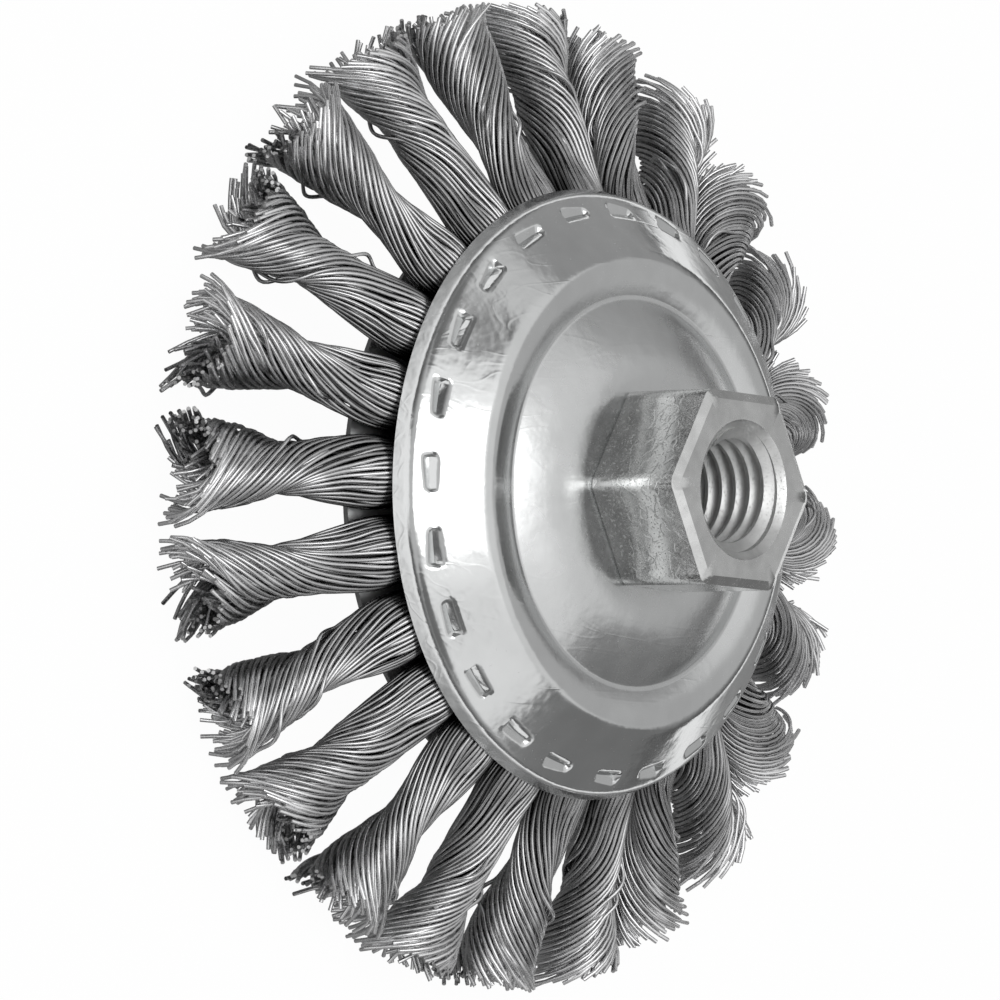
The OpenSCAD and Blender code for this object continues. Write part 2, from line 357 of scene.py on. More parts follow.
def ranged(tree, value, low, high, to_low=0.0, to_high=1.0, smooth=False):
    """Carries a number from one range to another, and holds it at their ends."""
    kind = "SMOOTHSTEP" if smooth else "LINEAR"
    return new_node(tree, "ShaderNodeMapRange", {"interpolation_type": kind}, Value=value,
                    From_Min=low, From_Max=high, To_Min=to_low, To_Max=to_high).outputs["Result"]


def noise(tree, place, scale, detail):
    """Soft noise from 0 to 1."""
    return new_node(tree, "ShaderNodeTexNoise", Vector=place, Scale=scale,
                    Detail=detail).outputs["Fac"]


def maths(tree, operation, *values):
    """The result of a Math node."""
    return worked_out(tree, "Math", operation, *values)[0]


def object_place(tree):
    """The place on the piece, in metres."""
    return tree.nodes.new("ShaderNodeTexCoord").outputs["Object"]


def new_group(name, inputs, outputs):
    """A node group with float inputs and outputs, and its two end nodes."""
    tree = bpy.data.node_groups.new(name, "ShaderNodeTree")
    for title, default in inputs.items():
        tree.interface.new_socket(
            title, in_out="INPUT", socket_type="NodeSocketFloat").default_value = default
    for title in outputs:
        tree.interface.new_socket(title, in_out="OUTPUT", socket_type="NodeSocketFloat")
    return tree, tree.nodes.new("NodeGroupInput"), tree.nodes.new("NodeGroupOutput")


def clouds_group():
    """Soft clouds of two sizes, from 0 to 1, as zinc and worn steel show."""
    tree, start, end = new_group("Metal clouds", {"Scale": 100.0, "Detail": 4.0}, ["Cloud"])
    place = object_place(tree)
    scale, detail = start.outputs["Scale"], start.outputs["Detail"]
    broad = noise(tree, place, scale, detail)
    times_finer = 5.3
    fine = noise(tree, place, maths(tree, "MULTIPLY", scale, times_finer), 2.0)
    fine_share = 0.35
    both = ranged(tree, fine_share, 0.0, 1.0, broad, fine)
    feed(tree, end.inputs["Cloud"], ranged(tree, both, 0.35, 0.65))
    return tree


def scratches_group():
    """Thin scratches in two directions, as a mask from 0 to 1."""
    tree, start, end = new_group("Fine scratches", {"Scale": 300.0, "Width": 0.03}, ["Scratch"])
    stretched = (1, 0.06, 1)
    masks = []
    for turn in ((0.4, 0.3, 0.9), (1.3, 2.1, -0.5)):
        laid = new_node(tree, "ShaderNodeMapping", Vector=object_place(tree), Rotation=turn,
                        Scale=stretched).outputs[0]
        streak = noise(tree, laid, start.outputs["Scale"], 1.0)
        off = maths(tree, "ABSOLUTE", maths(tree, "SUBTRACT", streak, 0.5))
        masks.append(ranged(tree, off, 0.0, start.outputs["Width"], 1.0, 0.0))
    feed(tree, end.inputs["Scratch"], maths(tree, "MAXIMUM", *masks))
    return tree


def specks_group():
    """Small pits and grains, as a mask from 0 to 1."""
    tree, start, end = new_group("Fine specks", {"Scale": 3600.0, "Rarity": 0.7}, ["Speck"])
    grain = noise(tree, object_place(tree), start.outputs["Scale"], 2.0)
    rarity = start.outputs["Rarity"]
    soft_edge = 0.12
    full = maths(tree, "ADD", rarity, soft_edge)
    feed(tree, end.inputs["Speck"], ranged(tree, grain, rarity, full))
    return tree


def use_group(tree, name, make, **inputs):
    """Adds a shared group, made at its first use, and gives its output."""
    node = tree.nodes.new("ShaderNodeGroup")
    node.node_tree = bpy.data.node_groups.get(name) or make()
    for key, value in inputs.items():
        node.inputs[key].default_value = value
    return node.outputs[0]


def shaded(tree, base, amount):
    """The base colour times a varying amount."""
    node = new_node(tree, "ShaderNodeMix", {"data_type": "RGBA", "blend_type": "MULTIPLY"})
    for index, value in ((0, 1.0), (6, (*base, 1)), (7, amount)):
        feed(tree, node.inputs[index], value)
    return node.outputs[2]


def rougher_inside(tree, rough, radius, blend, extra):
    """Adds to the roughness inside a radius round the spindle's axis."""
    level = worked_out(tree, "VectorMath", "MULTIPLY", object_place(tree), (1, 1, 0))["Vector"]
    out = worked_out(tree, "VectorMath", "LENGTH", level)["Value"]
    more = ranged(tree, out, radius - blend, radius + blend, extra, 0.0, smooth=True)
    return maths(tree, "ADD", rough, more)


def new_metal(name):
    """A metallic material, with its node tree and its shader's inputs."""
    material = bpy.data.materials.new(name)
    material.use_nodes = True
    sockets = material.node_tree.nodes["Principled BSDF"].inputs
    sockets["Metallic"].default_value = 1
    return material, material.node_tree, sockets


def metal(name, base, rough, clouds, scratches, waves=0.0, tone=0.12, inside=None,
          rarity=0.7):
    """Steel with clouds in its tone and gloss, specks, fine scratches and pressed waves.

    rough is the roughness from clear to cloudy, clouds and scratches are scales, waves is a
    height, tone is how much the clouds darken, and inside says where it is rougher.
    """
    speck_roughness = 0.3
    scratch_depth = 0.02 * MM
    material, tree, sockets = new_metal(name)
    cloud = use_group(tree, "Metal clouds", clouds_group, Scale=clouds)
    scratch = use_group(tree, "Fine scratches", scratches_group, Scale=scratches)
    speck = use_group(tree, "Fine specks", specks_group, Rarity=rarity)
    feed(tree, sockets["Base Color"],
         shaded(tree, base, ranged(tree, cloud, 0.0, 1.0, 1 - tone, 1)))
    gloss = ranged(tree, cloud, 0.0, 1.0, *rough)
    if inside:
        gloss = rougher_inside(tree, gloss, *inside)
    feed(tree, sockets["Roughness"], maths(tree, "MULTIPLY_ADD", speck, speck_roughness, gloss))
    bump = new_node(tree, "ShaderNodeBump", Strength=0.25, Distance=scratch_depth, Height=scratch)
    if waves:
        wave = use_group(tree, "Metal clouds", clouds_group, Scale=90.0, Detail=0.0)
        soft = new_node(tree, "ShaderNodeBump", Strength=1.0, Distance=waves, Height=wave)
        feed(tree, bump.inputs["Normal"], soft.outputs["Normal"])
    feed(tree, sockets["Normal"], bump.outputs["Normal"])
    return material


def wire_metal(name, base, rough):
    """Drawn wire: each wire has tones along it, with painted shade and painted light among them,
    and soft clouds.
    """
    material, tree, sockets = new_metal(name)
    tone = new_node(tree, "ShaderNodeAttribute", {"attribute_name": "wire_tone_and_light"}).outputs["Fac"]
    cloud = use_group(tree, "Metal clouds", clouds_group, Scale=700.0)
    cloudy, clear = 0.82, 1.0
    shade = maths(tree, "MULTIPLY", ranged(tree, tone, *WIRE_TONES, *WIRE_SHADES),
                  ranged(tree, cloud, 0.0, 1.0, cloudy, clear))
    feed(tree, sockets["Base Color"], shaded(tree, base, shade))
    feed(tree, sockets["Roughness"], ranged(tree, cloud, 0.0, 1.0, *rough))
    return material


# The pressed dish

class BRUSH_OT_make_dish(bpy.types.Operator):
    """Make the pressed cover dish with its dents"""
    bl_idname = "wire_brush.make_dish"
    bl_label = "Make cover dish"

    def execute(self, context):
        sizes = context.scene.brush_dish
        upper = filled(self.upper_path(sizes), step=0.3 * MM)
        lower = moved(self.upper_path(sizes), sizes.sheet)[::2]
        lean = math.atan2(sizes.skirt_lean, sizes.skirt_height)
        lower[0] = Vector((RIM_RADIUS - sizes.sheet / math.cos(lean), 0))
        rim = Vector((0, RIM_Z))
        bm = turned([rim + point for point in upper + lower[::-1]], steps=720)
        self.press_dents(bm, sizes, context.scene.brush_knots.count, random.Random(sizes.seed))
        zinc = metal("Bright zinc sheet", context.scene.brush_finish.dish, rough=(0.1, 0.2),
                     clouds=55.0, scratches=260.0, waves=0.04 * MM,
                     inside=(sizes.dip_radius, 2 * MM, 0.12))
        finished_piece("dish_sheet", bm, zinc, "cover_dish")
        return {"FINISHED"}

    @staticmethod
    def upper_path(sizes):
        """Upper surface from the rim to the hole, in heights above the rim."""
        foot = Vector((RIM_RADIUS, 0))
        skirt = Vector((RIM_RADIUS - sizes.skirt_lean, sizes.skirt_height))
        shoulder = Vector((sizes.shoulder_radius, sizes.shoulder_height))
        dip = Vector((sizes.dip_radius, sizes.shoulder_height))
        low = sizes.shoulder_height - sizes.dip_depth
        dip_foot = Vector((sizes.dome_radius + 0.4 * MM, low))
        dome_foot = Vector((sizes.dome_radius, low))
        seat = Vector((sizes.seat_radius, sizes.seat_height))
        pull_share, pull_drop = 0.42, 0.3 * MM
        pull = Vector((sizes.seat_radius + pull_share * (sizes.dome_radius - sizes.seat_radius),
                       sizes.seat_height - pull_drop))
        hole = Vector((sizes.hole_radius, sizes.seat_height))
        bend = corner(skirt, shoulder, dip, cut=1.1 * MM, steps=6)
        return (
            [foot]
            + corner(foot, skirt, shoulder, cut=0.7 * MM, steps=5)
            + bend + curve(bend[-1], dip, dip_foot, 12)[1:]
            + curve(dome_foot, pull, seat, 16)
            + [hole])

    @staticmethod
    def press_dents(bm, sizes, count, source):
        """Lowers the band's points to the level floor of each dent."""
        band_foot = RIM_RADIUS - sizes.skirt_lean
        rise = ((sizes.shoulder_height - sizes.skirt_height)
                / (band_foot - sizes.shoulder_radius))
        pitch = 2 * math.pi / count
        tilts = [math.tan(sizes.dent_tilt) * source.uniform(-1, 1) for _ in range(count)]
        slides = [sizes.dent_slide * source.uniform(-1, 1) for _ in range(count)]
        edge = sizes.dent_edge
        on_band = 0.1 * MM
        inner = sizes.dent_radius - sizes.dent_width / 2
        outer = sizes.dent_radius + sizes.dent_width / 2
        for vert in bm.verts:
            radius = math.hypot(vert.co.x, vert.co.y)
            surface = RIM_Z + sizes.skirt_height + (band_foot - radius) * rise
            if abs(vert.co.z - surface) > on_band:
                continue
            turn = math.atan2(vert.co.y, vert.co.x)
            index = round(turn / pitch)
            out = radius * math.cos(turn - pitch * index)
            side = radius * math.sin(turn - pitch * index) - slides[index]
            floor = (RIM_Z + sizes.skirt_height + (band_foot - outer) * rise
                     + side * tilts[index])
            mask = (risen(out - inner, -edge / 2, edge)
                    * risen(sizes.dent_length / 2 - abs(side), -edge / 2, edge))
            vert.co.z -= max(0, vert.co.z - floor) * mask


# The work side

class BRUSH_OT_make_plates(bpy.types.Operator):
    """Make the work-side cover and finish the carrier plate"""
    bl_idname = "wire_brush.make_plates"
    bl_label = "Make plates"

    def execute(self, context):
        sizes = context.scene.brush_cover
        sheet = context.scene.brush_dish.sheet
        finish = context.scene.brush_finish
        slope = context.scene.brush_knots.slope
        inner_z = CARRIER_LOW.z
        # From the lowest point of the rim's lower edge up to its upper edge
        rim_z = COVER_LOW.z + sheet * math.cos(slope)
        flat_z = rim_z + (RIM_RADIUS - sizes.bend_radius) * math.tan(slope)
        foot = Vector((RIM_RADIUS, rim_z))
        bend = Vector((sizes.bend_radius, flat_z))
        step = Vector((sizes.step_radius, flat_z))
        inner = Vector((sizes.step_radius - sizes.step_lean, inner_z))
        hole = Vector((sizes.hole_radius, inner_z))
        path = ([foot] + corner(foot, bend, step, cut=MM, steps=5)
                + corner(bend, step, inner, cut=0.5 * MM, steps=5)
                + corner(step, inner, hole, cut=0.5 * MM, steps=5) + [hole])
        bm = turned(filled(path, step=2 * MM) + moved(path, sheet)[::-1], steps=192)
        zinc = metal("Satin zinc sheet", finish.dish, rough=(0.24, 0.36), clouds=60.0,
                     scratches=240.0, waves=0.03 * MM)
        finished_piece("back_sheet", bm, zinc, "back_cover")
        plate = metal("Plain steel plate", finish.carrier, rough=(0.35, 0.5), clouds=90.0,
                      scratches=300.0)
        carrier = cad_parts["knot_carrier"]
        carrier.data.materials.clear()
        carrier.data.materials.append(plate)
        return {"FINISHED"}


# The nut

class BRUSH_OT_make_nut(bpy.types.Operator):
    """Make the spindle nut with its real thread"""
    bl_idname = "wire_brush.make_nut"
    bl_label = "Make spindle nut"

    def execute(self, context):
        sizes = context.scene.brush_nut
        seat_z = RIM_Z + context.scene.brush_dish.seat_height
        bm = turned(self.profile(sizes, seat_z), steps=144)
        self.square_off(bm, sizes, seat_z)
        self.cut_thread(bm, sizes)
        steel = metal("Satin zinc nut", context.scene.brush_finish.nut, rough=(0.08, 0.17),
                      clouds=120.0, scratches=420.0, tone=0.25,
                      inside=(sizes.mouth_radius, 0.5 * MM, 0.3), rarity=0.56)
        finished_piece("threaded_nut", bm, steel, "spindle_nut", 28 * DEGREE)
        return {"FINISHED"}

    @staticmethod
    def profile(sizes, seat_z):
        """Half section of the nut, with the hexagon as its inscribed circle."""
        top, low = NUT_HIGH.z, NUT_LOW.z
        flat = sizes.across_flats / 2
        cone = sizes.mouth_depth * (sizes.mouth_radius - sizes.root_radius) / (
            sizes.mouth_radius - sizes.crest_radius)
        edge = 0.3 * MM
        points = [
            (sizes.root_radius, top - cone), (sizes.mouth_radius, top),
            (flat - sizes.bevel_width, top), (flat, top - sizes.bevel_height),
            (flat, seat_z + edge), (flat - edge, seat_z), (sizes.boss_radius, seat_z),
            (sizes.boss_radius, CARRIER_HIGH.z), (sizes.neck_radius, CARRIER_HIGH.z),
            (sizes.neck_radius, low + sizes.rivet_thickness),
            (sizes.rivet_radius, low + edge), (sizes.rivet_radius - edge, low),
            (sizes.root_radius + edge, low), (sizes.root_radius, low + edge)]
        return filled([Vector(p) for p in points + points[:1]], step=4 * MM)[:-1]

    @staticmethod
    def square_off(bm, sizes, seat_z):
        """Moves the turned points of the head out onto a hexagon with a corner on -Y."""
        flat = sizes.across_flats / 2
        sixth = math.pi / 3
        limit = flat / math.cos(sixth / 2) - sizes.corner_cut
        for vert in bm.verts:
            radius = math.hypot(vert.co.x, vert.co.y)
            if vert.co.z < seat_z - NEAR or radius < flat - sizes.bevel_width - NEAR:
                continue
            turn = math.atan2(vert.co.y, vert.co.x)
            off = turn - sixth * round(turn / sixth)
            grown = min(radius / math.cos(off), limit - (flat - radius))
            vert.co.x *= grown / radius
            vert.co.y *= grown / radius

    @staticmethod
    def cut_thread(bm, sizes):
        """Winds the thread's ridge up the bore and cuts its ends to the bore's mouths."""
        top, low = NUT_HIGH.z, NUT_LOW.z
        crest, root = sizes.crest_radius, sizes.root_radius + 0.02 * MM
        half = sizes.pitch / 2
        run_out = 0.2 * MM
        edge = crest + 0.12 * MM
        foot_up, edge_up, crest_up = 0.9 * half, 0.32 * half, 0.2 * half
        section = [(root, -foot_up), (edge, -edge_up), (crest, -crest_up),
                   (crest, crest_up), (edge, edge_up), (root, foot_up)]
        steps_a_turn = 72
        start = low + half
        steps = int((top - half - run_out - start) / sizes.pitch * steps_a_turn)
        face = bm.faces.new([bm.verts.new((r, 0, start + z)) for r, z in section])
        bmesh.ops.spin(
            bm, geom=[face], cent=(0, 0, 0), axis=(0, 0, 1),
            dvec=(0, 0, sizes.pitch / steps_a_turn),
            angle=2 * math.pi / steps_a_turn * steps, steps=steps,
            use_merge=False, use_duplicate=False)
        cone = (sizes.mouth_radius - crest) / sizes.mouth_depth
        for vert in bm.verts:
            radius = math.hypot(vert.co.x, vert.co.y)
            least = sizes.mouth_radius - min(top - vert.co.z, vert.co.z - low) * cone
            if radius < min(least, sizes.root_radius - NEAR / 10):
                vert.co.x *= min(least, root) / radius
                vert.co.y *= min(least, root) / radius
        bmesh.ops.recalc_face_normals(bm, faces=bm.faces)


# The knots

class Knot:
    """Centre line and cross section of one knot that points along +X."""

    # Shares of the knot's length
    EVEN_FROM = 0.62
    WAIST_AT = 0.36
    PRESSED_TO = 0.15
    PARTING = 0.2
    # How full the splayed tip is, and the most that a knot leans and is turned at its root
    TIP_FILL = 0.92
    LEAN = 8 * MM
    FIRST_TURN = 210 * DEGREE

    def __init__(self, sizes, number):
        self.sizes = sizes
        # The same sums as in the source of the solids, which the wires follow
        unlike = [math.sin(((37 + 14 * kind) * number ** 2 + 50 * kind) * DEGREE)
                  for kind in range(6)]
        self.twist = sizes.twist * (1 + 1.5 * sizes.spread * unlike[1])
        self.waist_share = 1 + sizes.spread * (0.8 * unlike[2] - 0.2)
        self.tip_share = 1 - sizes.spread * (1 + unlike[3]) / 2
        self.lean = self.LEAN * sizes.spread * unlike[4]
        self.phase = self.FIRST_TURN * sizes.spread * unlike[5]
        self.cos, self.sin = math.cos(sizes.slope), math.sin(sizes.slope)
        self.root_x = CARRIER_RADIUS + sizes.root_gap
        slope = math.tan(sizes.slope)
        self.root_z = CARRIER_Z - sizes.root_gap * slope
        tip_rise = self.TIP_FILL * sizes.tip_thickness / 2 * self.tip_share
        self.run = (TIP_RADIUS - self.root_x - tip_rise * self.sin) / self.cos
        self.rim = (RIM_RADIUS - self.root_x) / self.cos
        self.waist = self.rim + self.WAIST_AT * (self.run - self.rim)
        self.root_width = 2 * math.pi * self.root_x / sizes.count - sizes.root_space

    def along(self, s, root, rim, waist, tip):
        """A size at distance s, from its values at root, rim, waist and tip."""
        waist *= self.waist_share
        if s < self.rim:
            return ease(root, rim, s / self.rim)
        if s < self.waist:
            return ease(rim, waist, (s - self.rim) / (self.waist - self.rim))
        share = (s - self.waist) / (self.run - self.waist)
        return waist + (tip * self.tip_share - waist) * share ** 1.5

    def turn(self, t):
        """Twist at the share t of the knot's length: slow at the root, then even."""
        k = self.EVEN_FROM
        gone = t ** 3 / (3 * k * k) if t < k else k / 3 + t - k
        return self.twist * gone / (1 - 2 * k / 3)

    def fill(self, start, t):
        """Reach of the two plies' outline, as a share of the full section."""
        parted = risen(t, self.PRESSED_TO, self.PARTING)
        offset = self.sizes.ply_offset * parted * (1 - t ** 3)
        a = start + self.phase
        return offset * abs(math.cos(a)) + math.sqrt(
            (1 - offset) ** 2 - (offset * math.sin(a)) ** 2)

    def point(self, start, t, inset, share=1.0):
        """A point under the surface, on the wire that starts at that angle."""
        size, s = self.sizes, t * self.run
        a = start + self.turn(t)
        fill = self.fill(start, t)
        wide = self.along(s, self.root_width, size.rim_width, size.waist_width, size.tip_width)
        thick = self.along(s, size.rim_thickness, size.rim_thickness,
                           size.waist_width, size.tip_thickness)
        y = (wide / 2 * fill - inset) * share * math.cos(a) + self.lean * t ** 3
        b = (thick / 2 * fill - inset) * share * math.sin(a)
        return Vector((self.root_x + s * self.cos + b * self.sin, y,
                       self.root_z - s * self.sin + b * self.cos))

    def trimmed(self, start, inset, share=1.0):
        """Where a wire ends: cut by the cylinder over the tips, or just above the floor."""
        wire = self.sizes.wire
        end, step, most_steps = 1.06, 0.005, 40
        for _ in range(most_steps):
            tip = self.point(start, end, inset, share)
            if math.hypot(tip.x, tip.y) < TIP_RADIUS - wire and tip.z > 2 * wire:
                break
            end -= step
        return end

    def loop(self, start):
        """Points of the loop round the carrier's edge, from the upper leg to the lower."""
        size = self.sizes
        half = size.wire / 2
        loop_x = CARRIER_RADIUS - size.web
        near = CARRIER_THICKNESS / 2 + size.loop_gap + half
        up = near + (size.loop_thickness - size.wire) * abs(math.sin(start))
        leg_y = (size.loop_width / 2 + size.leg_spread - half) * math.cos(start)
        y = (size.loop_width / 2 - half) * math.cos(start)
        leg_x = CARRIER_RADIUS + size.leg_gap
        bend = [(loop_x - up * math.sin(b), y, CARRIER_Z + up * math.cos(b))
                for b in spaced(0, math.pi, 5)]
        return [Vector(p) for p in [(leg_x, leg_y, CARRIER_Z + up), *bend,
                                    (leg_x, leg_y, CARRIER_Z - up)]]


def hump(t, low, high):
    """0 outside low and high, and a smooth hump between them."""
    if not low < t < high:
        return 0.0
    return math.sin(math.pi * (t - low) / (high - low)) ** 2


def plateau(t, rise_from, rise_to, fall_from, fall_to):
    """1 between rise_to and fall_from, with smooth ends."""
    return (risen(t, rise_from, rise_to - rise_from)
            * risen(-t, -fall_to, fall_to - fall_from))


class Bundle:
    """Collects the wires of one knot and makes their mesh."""

    SIDES = 6
    CLEARANCE = 1.02

    def __init__(self, name, knot, turn, mirrored, source):
        self.name, self.knot = name, knot
        self.place = Matrix.Rotation(turn, 4, "Z") @ Matrix.Diagonal(
            (1, -1 if mirrored else 1, 1, 1))
        self.random = source
        self.wires = []

    def add(self, points, tones, width=1.0):
        """Adds a wire with a tone at each point, kept above the floor and off the trim."""
        room = self.knot.sizes.wire / 2 * width * self.CLEARANCE
        kept = []
        for point in points:
            shrink = min(1, (TIP_RADIUS - room) / math.hypot(point.x, point.y))
            kept.append(self.place @ Vector((point.x * shrink, point.y * shrink,
                                             max(point.z, room))))
        self.wires.append((kept, tones, width))

    def mesh(self, materials):
        """Bevels the wires' paths, which also closes their ends, and takes the mesh."""
        paths = bpy.data.curves.new(self.name, "CURVE")
        paths.dimensions = "3D"
        paths.bevel_depth = self.knot.sizes.wire / 2
        paths.bevel_resolution = (self.SIDES - 4) // 2
        paths.use_fill_caps = True
        for points, _, width in self.wires:
            spline = paths.splines.new("POLY")
            spline.points.add(len(points) - 1)
            spline.points.foreach_set("co", [c for p in points for c in (*p, 1)])
            spline.points.foreach_set("radius", [width] * len(points))
        mesh = taken_mesh(placed(self.name + "_path", paths))
        bpy.data.curves.remove(paths)
        self.colour(mesh, materials)
        return mesh

    def colour(self, mesh, materials):
        """Gives each wire its tones, painted shade and light among them, and the cut ends their
        own material.
        """
        tones = [tones[end] for _, tones, _ in self.wires[::-1] for end in (0, -1)
                 for _ in range(self.SIDES)]
        tones += [tone for _, tones, _ in self.wires for tone in tones
                  for _ in range(self.SIDES)]
        if len(tones) != len(mesh.vertices):
            raise RuntimeError(f"{self.name}: {len(mesh.vertices)} points, {len(tones)} tones")
        mesh.attributes.new("wire_tone_and_light", "FLOAT", "POINT").data.foreach_set("value", tones)
        mesh.materials.clear()
        for material in materials:
            mesh.materials.append(material)
        ends = [len(polygon.vertices) == 3 for polygon in mesh.polygons]
        mesh.polygons.foreach_set("material_index", ends)
        mesh.polygons.foreach_set("use_smooth", [not end for end in ends])


# Places along a wire are shares of its knot's length, and a pair is the range of a draw.
# Points along a surface wire, one that bulges out, one under the surface and one of the tuft
WIRE_POINTS, LOOSE_POINTS, INNER_POINTS, TUFT_POINTS = 29, 85, 18, 8
# How unevenly a surface wire lies: in and out, and sideways as a share of its pitch
PHASES = (0, 6.3)
WOBBLE, WOBBLE_RATE = 0.07 * MM, 9
SWAY, SWAY_RATE = 0.16, 6
# Where a loose wire bulges out, over what length, and how far
BULGE_FROM, BULGE_OVER = (0.35, 0.8), (0.13, 0.22)
BULGE_HEIGHT = (0.5 * MM, 1.2 * MM)
# Of three surface wires two close up, by a share of their pitch, and one dives under them,
# by wire widths
CLOSE_UP = (-0.25, 0.25, 0)
DIVE = (0, 0, 1.25)
# Where the dive starts, is full, and comes up again, and over what length
DIVE_FROM, DIVE_FULL, DIVE_TO, DIVE_END = 0.16, 0.36, (0.78, 0.92), 0.22
# Depth of a wire under the surface, in wire widths, and how much deeper its middle is
INNER_DEPTH, DEEPER = 1.45, 0.5
# Where wires under the surface and those of the tuft start, and the tuft's squared reach
INNER_FROM, TUFT_FROM, TUFT_SQUARES = 0.1, 0.62, (0.03, 0.8)
# How much too short a wire may be
SURFACE_SHORT, INNER_SHORT, TUFT_SHORT = (0, 0.045), (0, 0.07), (0, 0.09)
# Tones: surface wires differ at random, while wires under the surface and of the tuft get painted
# shade inside the knot and painted light at their tips
SURFACE_TONES, INNER_SHADE_TONES, TUFT_SHADE_TONE, TIP_LIGHT_TONES = (0.35, 1.15), (-0.75, -0.4), -0.5, (1.1, 1.6)
# How much painted shade darkens the sides of a wire's root, where the knots meet, and how much
# painted light brightens a surface wire's tip
ROOT_SHADE_TONE, SURFACE_TIP_LIGHT = 1.7, 0.7
# Where wires start to part at the tip, how far, and how often and how much further one strays
PART_FROM, SURFACE_PARTING, INNER_PARTING = 0.8, 0.9 * MM, 1.1 * MM
STRAY_CHANCE, STRAY_TIMES = 0.08, 2.6


def end_wander(bundle, size):
    """A sideways move that grows over the last stretch of a wire."""
    aim = bundle.random.uniform(0, 2 * math.pi)
    amount = size * bundle.random.uniform(0.2, 1)
    if bundle.random.random() < STRAY_CHANCE:
        amount *= STRAY_TIMES
    across = Vector((0, math.cos(aim), math.sin(aim))) * amount
    return lambda t: across * max(0, (t - PART_FROM) / (1 - PART_FROM)) ** 2


def surface_wire(bundle, index, loose):
    """Points and tones of one surface wire, from root to tip. Every third one dives in."""
    knot, sizes, source = bundle.knot, bundle.knot.sizes, bundle.random
    step = 2 * math.pi / sizes.outer_wires
    start = (index + 0.5) * step
    shift = CLOSE_UP[index % 3] * step
    dive = DIVE[index % 3] * sizes.wire
    wobble, sway = source.uniform(*PHASES), source.uniform(*PHASES)
    wander = end_wander(bundle, SURFACE_PARTING)
    end = knot.trimmed(start, sizes.wire) - source.uniform(*SURFACE_SHORT)
    base = source.uniform(*SURFACE_TONES)
    low = source.uniform(*BULGE_FROM)
    high = low + source.uniform(*BULGE_OVER)
    dive_to = source.uniform(*DIVE_TO)
    points, tones = [], []
    for t in spaced(0, end, LOOSE_POINTS if loose else WIRE_POINTS):
        tight = plateau(t, DIVE_FROM, DIVE_FULL, dive_to, dive_to + DIVE_END)
        free = min(1, 4 * t)
        inset = sizes.wire / 2 + dive * tight
        inset += WOBBLE * math.sin(WOBBLE_RATE * t + wobble) * free
        inset -= loose * hump(t, low, high)
        a = start + shift * tight + SWAY * step * math.sin(SWAY_RATE * t + sway) * free
        points.append(knot.point(a, t, inset) + wander(t))
        side = abs(math.cos(a + knot.turn(t))) ** 1.5
        # Painted shade on the knot's sides near its root, where the knots meet
        hidden = side * (1 - risen(t, 0.12, 0.36))
        # Painted light on the last stretch of the wire, towards its tip
        worn = risen(t, 0.8, 0.15)
        tones.append(base - ROOT_SHADE_TONE * hidden + SURFACE_TIP_LIGHT * worn)
    return points, tones


def lit_tip(times, inner, outer):
    """Tones of a wire: painted shade inside the knot and painted light where it leaves it."""
    return [inner + (outer - inner) * risen(t, 0.52, 0.22) for t in times]


def add_surface(bundle):
    """Joins each upper wire through its loop to the lower wire on the same side."""
    sizes, source = bundle.knot.sizes, bundle.random
    count = sizes.outer_wires
    strays = set(source.sample(range(count), sizes.loose_wires))
    strands = []
    for index in range(count):
        loose = source.uniform(*BULGE_HEIGHT) if index in strays else 0
        strands.append(surface_wire(bundle, index, loose))
    for index in range(count // 2):
        (upper, bright), (lower, dim) = strands[index], strands[count - 1 - index]
        turn = bundle.knot.loop((index + 0.5) * 2 * math.pi / count)
        bundle.add(upper[:0:-1] + turn + lower[1:], bright[:0:-1] + [0] * len(turn) + dim[1:])


def add_inner(bundle):
    """Adds the wires under the surface, those of the tuft, and a core between them, nearly black
    as painted shade.
    """
    knot, sizes, source = bundle.knot, bundle.knot.sizes, bundle.random
    for index in range(sizes.inner_wires):
        start = 2 * math.pi * (index + source.random()) / sizes.inner_wires
        end = knot.trimmed(start, 1.5 * sizes.wire) - source.uniform(*INNER_SHORT)
        wander = end_wander(bundle, INNER_PARTING)
        times = spaced(INNER_FROM, end, INNER_POINTS)
        depths = [sizes.wire * (INNER_DEPTH + DEEPER * hump(t, 0.15, 1.05)) for t in times]
        # Painted shade along the wire inside the knot, and painted light at its tip
        bundle.add([knot.point(start, t, depth) + wander(t) for t, depth in zip(times, depths)],
                   lit_tip(times, source.uniform(*INNER_SHADE_TONES), source.uniform(*TIP_LIGHT_TONES)))
    for _ in range(sizes.tip_wires):
        share = math.sqrt(source.uniform(*TUFT_SQUARES))
        start = source.uniform(0, 2 * math.pi)
        end = knot.trimmed(start, sizes.wire, share) - source.uniform(*TUFT_SHORT)
        wander = end_wander(bundle, INNER_PARTING)
        times = spaced(TUFT_FROM, end, TUFT_POINTS)
        bundle.add([knot.point(start, t, sizes.wire, share) + wander(t) for t in times],
                   lit_tip(times, TUFT_SHADE_TONE, source.uniform(*TIP_LIGHT_TONES)))
    # The core takes the darkest tone: painted shade where the hidden wires lie
    core = [knot.point(0, t, 0, share=0) for t in (0.05, 0.2, 0.35, 0.5, 0.65, 0.78)]
    bundle.add(core, [-1] * len(core), sizes.core / sizes.wire)


